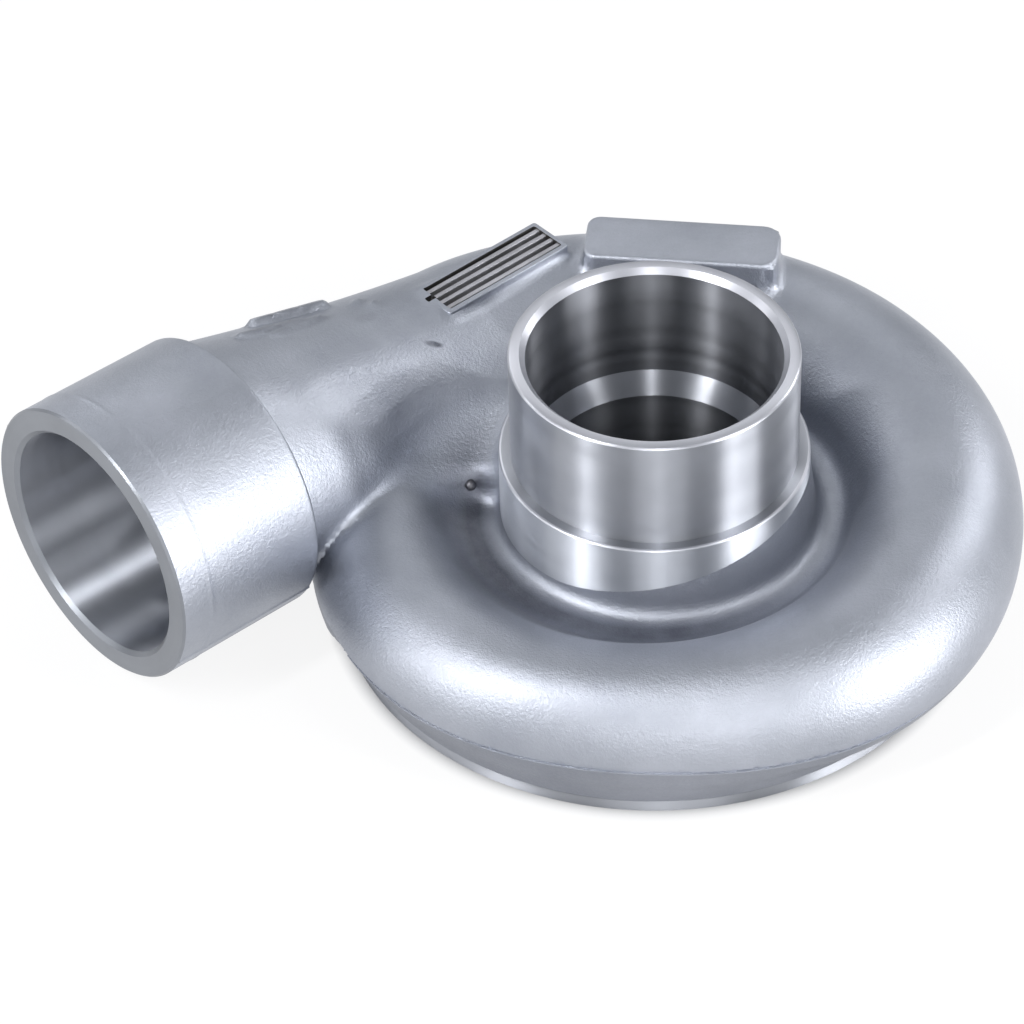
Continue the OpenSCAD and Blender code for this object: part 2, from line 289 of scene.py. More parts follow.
def cast_field(x, y, z):
    """The whole cast skin, before the machining."""
    s, u = tube_axis(x, y)
    r = np.hypot(x, y)
    az = azimuth(x, y)
    # The scroll, cut back to the wall above the flange below its parting line at the front
    wall_r = 114.6 + 0.25 * np.maximum(z - 5.0, 0)
    under = ramp(-az, 45, 70) * ramp(az, -170, -150)
    scroll = np.maximum(
        scroll_field(x, y, z),
        np.where(z < PARTING_Z, r - wall_r - 12 * (1 - under), -5.0),
    )
    # The tube with its marks, cut along the inner flank
    tube = tube_field(x, y, z)
    around = np.degrees(np.arctan2(y, x))
    turned = np.where(around < -90, around + 360, around)
    flank = np.interp(z, FLANK_Z, FLANK_R) - 0.7 * (175 - turned)
    tube = smooth_max(tube - tube_marks(s, u, z), 0.87 * (flank - r), 2.0)
    f = smooth_min(scroll, tube, 5 * ramp(s, 8, 45))
    # Core of the outlet's thick end, just under its own solid
    d, ring = along_outlet(x, y, z)
    thick = np.maximum(ring - (OUTLET_R - 1.2), np.maximum(d - OUTLET_LEN + 1.2, 2 - d))
    f = smooth_min(f, thick, 3.0)
    # Ramp that closes the trough, from its straight front edge up to the tray
    top = np.minimum(48.0 + 0.5 * (y - 6.0), 64.0)
    web = smooth_max(0.9 * (z - top), 6.0 - y, 5.0)
    web = smooth_max(web, np.maximum(r - 92.0, 0.8 * (x + 30.0)), 10.0)
    f = smooth_min(f, web, 16.0)
    # Floor of the trough, the cast hub and the wall above the flange
    trough = smooth_max(z - TROUGH_Z, r - 82.0, 6.0)
    f = smooth_min(f, trough, 7.0)
    hub_r = HUB_FOOT_R - HUB_TAPER * (z - TROUGH_Z)
    hub = np.maximum(np.hypot(x - HUB_SHIFT, y) - hub_r, z - COLLAR_TOP + 0.6)
    beside = ramp(around, 132, 150) * ramp(-around, -181, -172)
    f = smooth_min(f, hub, 6.0 + 8.0 * beside)
    skirt = np.maximum(0.97 * (r - wall_r), z - PARTING_Z + 1.0)
    f = smooth_min(f, skirt, 1.5)
    # Soft feet under the rear pad and the framed tray
    pad = turned_box(x, y, z, (*PAD_CENTRE, 70.0), PAD_ANGLE, (35.4, 11.7, 11.4), 2.0)
    f = smooth_min(f, pad, 5.0)
    tray = turned_box(x, y, z, (*TRAY_CENTRE, 70.0), TRAY_ANGLE, (28.7, 9.2, 9.0), 1.0)
    f = smooth_min(f, tray, 4.0)
    return np.maximum(f, -z - 3.0)


def passage_field(x, y, z):
    """Air passage inside the scroll and the tube."""
    az = azimuth(x, y)
    r = np.hypot(x, y)
    t = np.clip((az - DUCT_FIRST) / (TANGENT_AZ - DUCT_FIRST), 0, 1)
    out = key_at(KEY_OUT, az)
    top = key_at(KEY_CREST, az)
    half = np.minimum(
        8 + (TUBE_R_START - WALL - 8) * t, (out - SCROLL_IN) / 2 - WALL
    )
    low = DUCT_FLOOR - (DUCT_FLOOR - TUBE_START_Z + TUBE_R_START - WALL) * t**4
    high = np.minimum(top - WALL, low + 2.2 * half)
    duct = ellipse(
        r - (out + SCROLL_IN) / 2, z - (low + high) / 2, half, (high - low) / 2
    )
    duct = np.maximum(duct, np.radians(DUCT_FIRST - az) * r)
    s, u = tube_axis(x, y)
    q, size, zc = tube_size(s)
    ring = np.hypot(u - OUTLET_OFFSET, z - zc) - (size - WALL - 1.5 * q)
    return np.minimum(duct, np.maximum(ring, np.maximum(-s, s - NECK_S - 0.5)))


# Meshes


def surface_nets(field, lo, hi, step, h=0.05):
    """Closed skin of a field: one point per cell that the surface crosses, then moved onto it."""
    n = [int(math.ceil((b - a) / step)) + 1 for a, b in zip(lo, hi)]
    axes = [a + step * np.arange(k) for a, k in zip(lo, n)]
    gx, gy, gz = np.meshgrid(*axes, indexing="ij")
    value = field(gx, gy, gz)
    inside = value < 0
    corner = [
        np.s_[i : n[0] - 1 + i, j : n[1] - 1 + j, k : n[2] - 1 + k]
        for i in (0, 1)
        for j in (0, 1)
        for k in (0, 1)
    ]
    count = sum(inside[c].astype(np.int8) for c in corner)
    crossed = (count > 0) & (count < 8)
    cells = np.argwhere(crossed)
    index = np.full(crossed.shape, -1)
    index[crossed] = np.arange(len(cells))
    total = np.zeros((len(cells), 3))
    hits = np.zeros(len(cells))
    offsets = [(i, j, k) for i in (0, 1) for j in (0, 1) for k in (0, 1)]
    for a in offsets:
        for axis in range(3):
            if a[axis]:
                continue
            b = list(a)
            b[axis] = 1
            va = value[tuple((cells + a).T)]
            vb = value[tuple((cells + b).T)]
            cut = (va < 0) != (vb < 0)
            t = np.where(cut, va / np.where(cut, va - vb, 1), 0)
            point = cells + np.array(a, float)
            point[:, axis] += t
            total[cut] += point[cut]
            hits[cut] += 1
    verts = np.array(lo) + step * total / hits[:, None]
    for _ in range(3):
        x, y, z = verts.T
        f = field(x, y, z)
        g = np.stack(
            [
                field(x + h, y, z) - field(x - h, y, z),
                field(x, y + h, z) - field(x, y - h, z),
                field(x, y, z + h) - field(x, y, z - h),
            ],
            1,
        ) / (2 * h)
        move = (f / np.maximum((g**2).sum(1), 0.05))[:, None] * g
        size = np.linalg.norm(move, axis=1, keepdims=True)
        verts = verts - move * np.minimum(1, 0.4 * step / np.maximum(size, 1e-9))
    faces = []
    for axis in range(3):
        o1, o2 = [(1, 2), (2, 0), (0, 1)][axis]
        low = [slice(None)] * 3
        high = [slice(None)] * 3
        low[axis] = slice(0, n[axis] - 1)
        high[axis] = slice(1, n[axis])
        change = inside[tuple(low)] != inside[tuple(high)]
        edges = np.argwhere(change)
        edges = edges[(edges[:, o1] > 0) & (edges[:, o2] > 0)]
        edges = edges[(edges[:, o1] < n[o1] - 1) & (edges[:, o2] < n[o2] - 1)]
        quad = []
        for d1, d2 in ((0, 0), (1, 0), (1, 1), (0, 1)):
            cell = edges.copy()
            cell[:, o1] -= d1
            cell[:, o2] -= d2
            quad.append(index[tuple(cell.T)])
        quad = np.stack(quad, 1)
        out = inside[tuple(edges.T)]
        faces.append(np.where(out[:, None], quad, quad[:, ::-1]))
    return verts, np.concatenate(faces)


def new_object(name, verts, faces, slots=None):
    """Mesh object from millimetre points. slots gives each face's material."""
    mesh = bpy.data.meshes.new(name)
    mesh.from_pydata(
        [tuple(v) for v in (np.asarray(verts) * MM).tolist()],
        [],
        [tuple(f) for f in (faces.tolist() if hasattr(faces, "tolist") else faces)],
    )
    for material in materials:
        mesh.materials.append(material)
    if slots is not None:
        mesh.polygons.foreach_set("material_index", np.asarray(slots, dtype=np.int32))
    mesh.validate()
    mesh.update()
    obj = bpy.data.objects.new(name, mesh)
    bpy.context.scene.collection.objects.link(obj)
    return obj


def lathe(name, profile, slots, steps=256, place=None, shape=None):
    """Closed solid of revolution about Z from a closed profile of (radius, height) points.

    slots[i] is the material of the band from point i to point i + 1. Points on the axis are
    single ones. place moves the points, and shape(radius, angles) may change a ring's radii
    first.
    """
    area = sum(
        a[0] * b[1] - b[0] * a[1] for a, b in zip(profile, profile[1:] + profile[:1])
    )
    angles = np.arange(steps) * 2 * math.pi / steps
    verts, rings = [], []
    for r, z in profile:
        if r < 1e-9:
            rings.append([len(verts)] * steps)
            verts.append((0.0, 0.0, z))
        else:
            rings.append(list(range(len(verts), len(verts) + steps)))
            radii = (
                np.full(steps, float(r)) if shape is None else shape(r, angles)
            )
            verts.extend(
                zip(radii * np.cos(angles), radii * np.sin(angles), np.full(steps, z))
            )
    faces, marks = [], []
    for i, mark in enumerate(slots):
        a, b = rings[i], rings[(i + 1) % len(rings)]
        if a[0] == a[1] and b[0] == b[1]:
            continue
        for k in range(steps):
            m = (k + 1) % steps
            face = [a[k], a[m], b[m], b[k]]
            face = [v for j, v in enumerate(face) if v not in face[:j]]
            faces.append(face if area > 0 else face[::-1])
            marks.append(mark)
    verts = np.array(verts)
    if place is not None:
        verts = verts @ place[:3, :3].T + place[:3, 3]
    return new_object(name, verts, faces, marks)


def outlet_place():
    """Matrix from the outlet's own frame, Z out of the face, to the part's frame."""
    turn = Euler(
        (0, math.radians(90 - OUTLET_RISE), math.radians(OUTLET_HEADING)), "XYZ"
    ).to_matrix()
    place = np.eye(4)
    place[:3, :3] = np.array(turn)
    place[:3, 3] = FACE_CENTRE
    return place


def arc(cx, cz, radius, start, end, count):
    """Points of an arc in the radius and height plane, angles in degrees."""
    return [
        (
            cx + radius * math.cos(math.radians(start + (end - start) * i / count)),
            cz + radius * math.sin(math.radians(start + (end - start) * i / count)),
        )
        for i in range(count + 1)
    ]


def prism(name, outline, z0, z1, slot, bevel=0.0):
    """Upright solid over a closed outline, with its top edge rounded in four steps."""
    outline = np.array(outline, float)
    n = len(outline)
    nxt = np.roll(outline, -1, axis=0)
    prv = np.roll(outline, 1, axis=0)
    e1 = nxt - outline
    e0 = outline - prv
    n1 = np.stack([e1[:, 1], -e1[:, 0]], 1) / np.linalg.norm(e1, axis=1)[:, None]
    n0 = np.stack([e0[:, 1], -e0[:, 0]], 1) / np.linalg.norm(e0, axis=1)[:, None]
    nm = n0 + n1
    nm /= np.maximum((nm * n1).sum(1), 0.3)[:, None]
    rows = [(z0, 0.0), (z1 - bevel, 0.0)]
    if bevel:
        for i in range(1, 5):
            a = math.radians(90 * i / 4)
            rows.append((z1 - bevel + bevel * math.sin(a), bevel * (1 - math.cos(a))))
    verts, faces = [], []
    for z, inset in rows:
        ring = outline - nm * inset
        verts.extend([(p[0], p[1], z) for p in ring])
    for j in range(len(rows) - 1):
        for k in range(n):
            m = (k + 1) % n
            faces.append([j * n + k, j * n + m, (j + 1) * n + m, (j + 1) * n + k])
    faces.append(list(range(n - 1, -1, -1)))
    faces.append([(len(rows) - 1) * n + k for k in range(n)])
    return new_object(name, verts, faces, [slot] * len(faces))


def rounded_rectangle(size, radii, centre, angle, steps=6):
    """Outline of a rectangle with one corner radius each, counter-clockwise from low right."""
    points = []
    corners = [(1, -1), (1, 1), (-1, 1), (-1, -1)]
    for (sx, sy), r, start in zip(corners, radii, (-90, 0, 90, 180)):
        cx, cy = sx * (size[0] / 2 - r), sy * (size[1] / 2 - r)
        for i in range(steps + 1):
            a = math.radians(start + 90 * i / steps)
            points.append((cx + r * math.cos(a), cy + r * math.sin(a)))
    c, s = math.cos(math.radians(angle)), math.sin(math.radians(angle))
    return [(centre[0] + c * x - s * y, centre[1] + s * x + c * y) for x, y in points]


def combine(target, other, operation):
    """Boolean of two closed meshes. The second one is deleted."""
    modifier = target.modifiers.new("cut", "BOOLEAN")
    modifier.solver = "MANIFOLD"
    modifier.operation = operation
    modifier.object = other
    graph = bpy.context.evaluated_depsgraph_get()
    mesh = bpy.data.meshes.new_from_object(target.evaluated_get(graph))
    old = target.data
    target.modifiers.clear()
    target.data = mesh
    bpy.data.meshes.remove(old)
    bpy.data.objects.remove(other)
    if len(target.data.polygons) < 100:
        raise RuntimeError("a boolean step lost the casting")


# Materials


def metal(name, colour, roughness, anisotropic=0.0):
    """New metal material, with its nodes, links and shader."""
    material = bpy.data.materials.new(name)
    material.use_nodes = True
    shader = material.node_tree.nodes["Principled BSDF"]
    shader.inputs["Base Color"].default_value = (*colour, 1)
    shader.inputs["Metallic"].default_value = 1.0
    shader.inputs["Roughness"].default_value = roughness
    shader.inputs["Anisotropic"].default_value = anisotropic
    shader.inputs["Anisotropic Rotation"].default_value = 0.25 if anisotropic else 0.0
    return material, material.node_tree.nodes, material.node_tree.links, shader


def noise(nodes, links, source, scale, detail=2.0, rough=0.5):
    node = nodes.new("ShaderNodeTexNoise")
    node.inputs["Scale"].default_value = scale
    node.inputs["Detail"].default_value = detail
    node.inputs["Roughness"].default_value = rough
    links.new(source, node.inputs["Vector"])
    return node.outputs["Fac"]


def spread(nodes, links, source, stops):
    """Colour ramp over a value; stops are (place, colour)."""
    node = nodes.new("ShaderNodeValToRGB")
    element = node.color_ramp.elements
    while len(element) < len(stops):
        element.new(0.5)
    for e, (place, colour) in zip(element, stops):
        e.position = place
        e.color = (*colour, 1)
    links.new(source, node.inputs["Fac"])
    return node.outputs["Color"]


def span(nodes, links, source, lo, hi, out_lo, out_hi):
    """Value from out_lo to out_hi while the source goes from lo to hi."""
    node = nodes.new("ShaderNodeMapRange")
    node.inputs["From Min"].default_value = lo
    node.inputs["From Max"].default_value = hi
    node.inputs["To Min"].default_value = out_lo
    node.inputs["To Max"].default_value = out_hi
    links.new(source, node.inputs["Value"])
    return node.outputs["Result"]


def bump(nodes, links, source, distance, strength, below=None):
    node = nodes.new("ShaderNodeBump")
    node.inputs["Distance"].default_value = distance
    node.inputs["Strength"].default_value = strength
    links.new(source, node.inputs["Height"])
    if below is not None:
        links.new(below, node.inputs["Normal"])
    return node.outputs["Normal"]


def vector_math(nodes, links, operation, a, b):
    """Vector operation; a and b are sockets or constant vectors."""
    node = nodes.new("ShaderNodeVectorMath")
    node.operation = operation
    for socket, value in ((node.inputs[0], a), (node.inputs[1], b)):
        if isinstance(value, tuple):
            socket.default_value = value
        elif value is not None:
            links.new(value, socket)
    return node


def times(nodes, links, a, b):
    node = nodes.new("ShaderNodeMath")
    node.operation = "MULTIPLY"
    links.new(a, node.inputs[0])
    links.new(b, node.inputs[1])
    return node.outputs[0]


def patch(nodes, links, flat, centre, angle, half):
    """1 inside a soft-edged ellipse seen from above, 0 outside it; millimetres and degrees."""
    node = nodes.new("ShaderNodeMapping")
    node.vector_type = "TEXTURE"
    node.inputs["Location"].default_value = (centre[0] * MM, centre[1] * MM, 0)
    node.inputs["Rotation"].default_value = (0, 0, math.radians(angle))
    node.inputs["Scale"].default_value = (half[0] * MM, half[1] * MM, 1)
    links.new(flat, node.inputs["Vector"])
    away = vector_math(nodes, links, "LENGTH", node.outputs[0], None).outputs["Value"]
    return span(nodes, links, away, 0.6, 1.15, 1.0, 0.0)


# Stains on top of the tube: centre, angle, half length and width, and strength
MARK_STAINS = (
    ((-131.0, 50.8), 34.2, (15.0, 4.6), 0.55),
    ((-136.0, 35.0), 36.9, (15.0, 3.4), 0.40),
    ((-126.0, 38.0), 44.0, (15.0, 3.0), 0.35),
    ((-104.0, 48.0), 40.0, (5.0, 3.0), 0.15),
    ((-79.3, 43.5), 15.0, (3.6, 1.3), 1.00),
)


def most_of(nodes, links, a, b):
    node = nodes.new("ShaderNodeMath")
    node.operation = "MAXIMUM"
    links.new(a, node.inputs[0])
    links.new(b, node.inputs[1])
    return node.outputs[0]


def grime_and_painted_shade(nodes, links, place, tone):
    """Darker metal: painted shade in the trough and on the wall under the parting line, and
    stains on the worn marks.
    """
    split = nodes.new("ShaderNodeSeparateXYZ")
    links.new(place, split.inputs[0])
    x, y, z = split.outputs
    joined = nodes.new("ShaderNodeCombineXYZ")
    links.new(x, joined.inputs[0])
    links.new(y, joined.inputs[1])
    flat = joined.outputs[0]
    radius = vector_math(nodes, links, "LENGTH", flat, None).outputs["Value"]
    rough = noise(nodes, links, place, 120, 3.0, 0.6)
    # Painted shade in the trough round the hub: darker towards its floor, and less of it towards
    # +x
    ring = times(
        nodes,
        links,
        span(nodes, links, radius, 0.057, 0.063, 0.0, 1.0),
        span(nodes, links, radius, 0.067, 0.080, 1.0, 0.0),
    )
    ring = times(nodes, links, ring, span(nodes, links, z, 0.060, 0.046, 0.0, 1.0))
    ring = times(nodes, links, ring, span(nodes, links, x, 0.010, 0.060, 1.0, 0.1))
    ring = times(nodes, links, ring, span(nodes, links, rough, 0.25, 0.65, 0.8, 1.0))
    # Painted shade on the wall under the parting line, above the flange
    under_parting_shade = times(
        nodes,
        links,
        span(nodes, links, z, 0.0240, 0.0232, 0.0, 0.4),
        span(nodes, links, z, 0.0030, 0.0060, 0.0, 1.0),
    )
    total = most_of(nodes, links, ring, under_parting_shade)
    for centre, angle, half, strength in MARK_STAINS:
        stain = times(
            nodes,
            links,
            patch(nodes, links, flat, centre, angle, half),
            span(nodes, links, rough, 0.3, 0.6, 0.4 * strength, strength),
        )
        stain = times(nodes, links, stain, span(nodes, links, z, 0.05, 0.06, 0.0, 1.0))
        total = most_of(nodes, links, total, stain)
    mix = nodes.new("ShaderNodeMix")
    mix.data_type = "RGBA"
    mix.blend_type = "MULTIPLY"
    links.new(total, mix.inputs["Factor"])
    links.new(tone, mix.inputs[6])
    mix.inputs[7].default_value = (0.33, 0.33, 0.35, 1)
    return mix.outputs[2]


def cast_material(name, base, dark, light):
    """Sand-cast metal: grain in the bump and the gloss, and cloudy tones from dark to light."""
    material, nodes, links, shader = metal(name, base, 0.42)
    place = nodes.new("ShaderNodeTexCoord").outputs["Object"]
    grain = noise(nodes, links, place, 2200, 2.0, 0.6)
    fine = noise(nodes, links, place, 820, 3.0, 0.6)
    cloud = noise(nodes, links, place, 28, 4.0, 0.6)
    stains = noise(nodes, links, place, 9, 3.0, 0.55)
    mixed = nodes.new("ShaderNodeMath")
    mixed.operation = "ADD"
    links.new(span(nodes, links, cloud, 0.3, 0.7, 0.0, 0.6), mixed.inputs[0])
    links.new(span(nodes, links, stains, 0.35, 0.65, 0.0, 0.4), mixed.inputs[1])
    tone = spread(
        nodes, links, mixed.outputs[0], [(0.0, dark), (0.5, base), (1.0, light)]
    )
    links.new(grime_and_painted_shade(nodes, links, place, tone), shader.inputs["Base Color"])
    links.new(span(nodes, links, fine, 0.3, 0.7, 0.40, 0.51), shader.inputs["Roughness"])
    low = bump(nodes, links, fine, 0.0003, 0.6)
    links.new(bump(nodes, links, grain, 0.00015, 0.6, low), shader.inputs["Normal"])
    return material


def turned_material(name, colour, roughness, anisotropic, centre, axis):
    """Metal turned round an axis: fine rings, and highlights drawn out across them."""
    material, nodes, links, shader = metal(name, colour, roughness, anisotropic)
    place = nodes.new("ShaderNodeTexCoord").outputs["Object"]
    arm = vector_math(nodes, links, "SUBTRACT", place, centre).outputs[0]
    height = vector_math(nodes, links, "DOT_PRODUCT", arm, axis).outputs["Value"]
    along = vector_math(nodes, links, "CROSS_PRODUCT", axis, arm).outputs[0]
    radius = vector_math(nodes, links, "LENGTH", along, None).outputs["Value"]
    rings = nodes.new("ShaderNodeCombineXYZ")
    links.new(radius, rings.inputs[0])
    links.new(height, rings.inputs[1])
    fine = noise(nodes, links, rings.outputs[0], 900, 2.0, 0.5)
    broad = noise(nodes, links, rings.outputs[0], 160, 2.0, 0.5)
    blotch = noise(nodes, links, place, 40, 3.0, 0.55)
    tone = spread(
        nodes,
        links,
        blotch,
        [(0.3, tuple(c * 0.88 for c in colour)), (0.7, colour)],
    )
    links.new(tone, shader.inputs["Base Color"])
    links.new(
        span(nodes, links, broad, 0.3, 0.7, roughness * 0.9, roughness * 1.15),
        shader.inputs["Roughness"],
    )
    links.new(bump(nodes, links, fine, 0.00004, 0.25), shader.inputs["Normal"])
    links.new(along, shader.inputs["Tangent"])
    return material


# Centre and axis of the two turned parts
UPRIGHT = ((0, 0, 0), (0, 0, 1))
OUTLET = (tuple((FACE_CENTRE * MM).tolist()), tuple(OUTLET_AXIS.tolist()))

# In the order of the slots
materials = [
    cast_material("cast_skin", (0.39, 0.41, 0.46), (0.33, 0.35, 0.40), (0.46, 0.48, 0.54)),
    turned_material("turned_face", (0.41, 0.425, 0.465), 0.38, 1.0, *UPRIGHT),
    turned_material("faced_end", (0.29, 0.305, 0.335), 0.42, 0.5, *OUTLET),
    turned_material("bored_wall", (0.42, 0.44, 0.49), 0.42, 1.0, *OUTLET),
    cast_material("dark_recess", (0.17, 0.165, 0.16), (0.08, 0.075, 0.07), (0.32, 0.31, 0.31)),
    # Lighter rib metal: wear on the tray's ribs, and a painted highlight on the nub
    cast_material("worn_rib_and_nub_highlight", (0.46, 0.46, 0.49), (0.17, 0.165, 0.16), (0.70, 0.70, 0.75)),
    # Painted shade: the inlet bore and the wheel contour take a darker tone than the outer turned
    # metal
    turned_material("inlet_bore", (0.30, 0.31, 0.34), 0.34, 1.0, *UPRIGHT),
    turned_material("turned_rim", (0.58, 0.59, 0.64), 0.38, 0.6, *UPRIGHT),
    turned_material("brushed_collar", (0.57, 0.595, 0.65), 0.46, 1.0, *UPRIGHT),
]

# The casting: its cast skin first, then the solids that are joined to it and cut from it
verts, faces = surface_nets(cast_field, (-236, -124, -7), (136, 139, 112), 1.8)
body = new_object("compressor_housing_casting", verts, faces)

# Thick end of the outlet: rounded shoulder, cast wall with a parting ridge and a faint ring
RING_R = OUTLET_R + 0.18
end = [(0, -OUTLET_LEN), (50.7, -OUTLET_LEN)] + arc(50.9, -58.7, 1.3, -80, 0, 4)
end += [(OUTLET_R, z) for z in (-57.5, -14.4, -13.6)] + [(RING_R, -12.8), (RING_R, -12.2)]
end += [(OUTLET_R, z) for z in (-11.4, -10.6, -1.6)]
end += arc(51.6, -0.6, 0.6, 0, 90, 3) + [(0, 0)]


def parting_ridge(r, angles):
    """Low ridge along both sides of the thick end."""
    radii = np.full(len(angles), float(r))
    if r < OUTLET_R - 0.2:
        return radii
    for at in (PARTING_ANGLE, PARTING_ANGLE + math.pi):
        off = (angles - at + math.pi) % (2 * math.pi) - math.pi
        radii += 0.55 * np.clip(1 - np.abs(off) * r / 1.1, 0, 1)
    return radii


combine(
    body,
    lathe(
        "outlet_end",
        end,
        [CAST] * (len(end) - 2) + [FACED],
        steps=480,
        place=outlet_place(),
        shape=parting_ridge,
    ),
    "UNION",
)


def swept_ridge(name, level, first, last, height, width, steps=220):
    """Thin parting ridge round the scroll at one level, faded out at both ends."""
    verts = []
    angles = np.linspace(first, last, steps + 1)
    a = np.radians(angles)
    lo = np.full(len(angles), 105.0)
    hi = np.full(len(angles), 140.0)
    for _ in range(30):
        mid = (lo + hi) / 2
        inside = cast_field(mid * np.cos(a), mid * np.sin(a), np.full(len(a), level)) < 0
        lo = np.where(inside, mid, lo)
        hi = np.where(inside, hi, mid)
    fade = np.minimum(1, np.minimum(angles - first, last - angles) / 12 + 0.01)
    for angle, r, h in zip(a, lo, height * fade):
        for dr, dz in ((-1.5, -width), (h, -0.15), (h, 0.15), (-1.5, width)):
            verts.append(
                ((r + dr) * math.cos(angle), (r + dr) * math.sin(angle), level + dz)
            )
    faces = [[3, 2, 1, 0], [4 * steps + i for i in range(4)]]
    for j in range(steps):
        for k in range(4):
            m = (k + 1) % 4
            faces.append([4 * j + k, 4 * j + m, 4 * j + 4 + m, 4 * j + 4 + k])
    return new_object(name, verts, [f[::-1] for f in faces], [CAST] * len(faces))


combine(body, swept_ridge("scroll_ridge", PARTING_Z + 0.2, -150, -40, 0.5, 0.8), "UNION")

# Turned inlet with its collar
inlet = lathe(
    "inlet_solid",
    [
        (0, 30),
        (COLLAR_R, 30),
        (COLLAR_R, COLLAR_TOP - 0.6),
        (COLLAR_R - 0.4, COLLAR_TOP - 0.15),
        (COLLAR_R - 1.0, COLLAR_TOP),
        (INLET_R, COLLAR_TOP),
        (INLET_R, INLET_TOP - 0.8),
        (INLET_R - 0.3, INLET_TOP - 0.3),
        (INLET_R - 0.8, INLET_TOP),
        (0, INLET_TOP),
    ],
    [COLLAR] * 2 + [RIM] * 2 + [TURNED] * 2 + [RIM] * 3,
)
combine(body, inlet, "UNION")


def moved(x, y, z):
    """Matrix that moves by a distance."""
    place = np.eye(4)
    place[:3, 3] = (x, y, z)
    return place


# Small cast nub in front of the ramp, in the lighter rib metal as a painted highlight
NUB_R = 2.1
nub = [(0, -NUB_R)] + arc(0, 0, NUB_R, -90, 90, 12)[1:-1] + [(0, NUB_R)]
nub_place = moved(-65.8, 5.2, 43.6)
combine(
    body,
    lathe("nub_solid", nub, [RIB] * (len(nub) - 1), steps=24, place=nub_place),
    "UNION",
)

# Rear pad and framed tray
pad = prism(
    "pad_solid",
    rounded_rectangle(PAD_SIZE, (7, 7, 5, 5), PAD_CENTRE, PAD_ANGLE),
    60,
    PAD_TOP,
    CAST,
    bevel=1.6,
)
combine(body, pad, "UNION")
tray = prism(
    "tray_solid",
    rounded_rectangle(TRAY_SIZE, (1.2,) * 4, TRAY_CENTRE, TRAY_ANGLE, 3),
    62,
    TRAY_TOP,
    CAST,
    bevel=0.6,
)
combine(body, tray, "UNION")
inner_size = (TRAY_SIZE[0] - 2 * TRAY_FRAME, TRAY_SIZE[1] - 2 * TRAY_FRAME)
recess = prism(
    "recess_solid",
    rounded_rectangle(inner_size, (0.8,) * 4, TRAY_CENTRE, TRAY_ANGLE, 3),
    TRAY_TOP - TRAY_DEPTH,
    TRAY_TOP + 1,
    DARK,
)
combine(body, recess, "DIFFERENCE")


def on_tray(along, across):
    """Point in the frame of the tray, seen from above."""
    c, s = math.cos(math.radians(TRAY_ANGLE)), math.sin(math.radians(TRAY_ANGLE))
    return (
        TRAY_CENTRE[0] + along * c - across * s,
        TRAY_CENTRE[1] + along * s + across * c,
    )


for k in range(1, TRAY_RIBS + 1):
    middle = on_tray(0, TRAY_SIZE[1] * (k / (TRAY_RIBS + 1) - 0.5))
    rib = prism(
        "rib_solid",
        rounded_rectangle((TRAY_SIZE[0] - 2, 1.8), (0.6,) * 4, middle, TRAY_ANGLE, 3),
        TRAY_TOP - TRAY_DEPTH - 2,
        TRAY_TOP - 0.6,
        RIB,
        bevel=0.35,
    )
    combine(body, rib, "UNION")

# Notch in the tray's frame
notch = prism(
    "notch_solid",
    rounded_rectangle((4.4, 2.4), (0.6,) * 4, on_tray(-28.4, 1.6), TRAY_ANGLE, 3),
    TRAY_TOP - 2.4,
    TRAY_TOP + 1,
    DARK,
)
combine(body, notch, "DIFFERENCE")

# Air passage and the slot that feeds it
verts, faces = surface_nets(passage_field, (-190, -122, 2), (136, 138, 102), 2.4)
combine(body, new_object("passage_cut", verts, faces), "DIFFERENCE")
combine(
    body,
    lathe(
        "slot_cut",
        [(SLOT_R[0], 6), (SLOT_R[1], 6), (SLOT_R[1], 30), (SLOT_R[0], 30)],
        [CAST] * 4,
        steps=192,
    ),
    "DIFFERENCE",
)

# Cuts on the inlet axis: bore, wheel contour, diffuser face and register
CONTOUR_W = CONTOUR_R - INDUCER_R
centre = [
    (0, -6),
    (REGISTER_R, -6),
    (REGISTER_R, REGISTER_DEPTH),
    (DIFFUSER_R, REGISTER_DEPTH),
    (DIFFUSER_R, DIFFUSER_Z),
]
centre += [
    (
        CONTOUR_R - CONTOUR_W * math.sin(math.radians(a)),
        DIFFUSER_Z + CONTOUR_W * (1 - math.cos(math.radians(a))),
    )
    for a in range(0, 91, 5)
]
centre += [
    (INDUCER_R, INDUCER_TOP),
    (INLET_BORE_R, BORE_FLOOR),
    (INLET_BORE_R, INLET_TOP - 2),
    (INLET_BORE_R + 2.6, INLET_TOP + 0.6),
    (0, INLET_TOP + 0.6),
]
# INNER is the wheel contour and the inlet bore, in the darker tone that is painted shade
centre_slots = [TURNED] * 5 + [INNER] * (len(centre) - 10) + [TURNED, INNER, RIM, RIM]
combine(body, lathe("centre_cut", centre, centre_slots), "DIFFERENCE")

# Outlet bore
combine(
    body,
    lathe(
        "outlet_cut",
        [
            (0, -OUTLET_LEN - 2),
            (OUTLET_BORE_R, -OUTLET_LEN - 2),
            (OUTLET_BORE_R, -1.5),
            (OUTLET_BORE_R + 2, 0.5),
            (0, 0.5),
        ],
        [BORED, BORED, FACED, FACED],
        steps=192,
        place=outlet_place(),
    ),
    "DIFFERENCE",
)
# Outlet face
combine(
    body,
    lathe(
        "outlet_face_cut",
        [(0, 0), (51.4, 0), (53.4, -2.0), (60, -2.0), (60, 10), (0, 10)],
        [FACED] * 5,
        steps=192,
        place=outlet_place(),
    ),
    "DIFFERENCE",
)
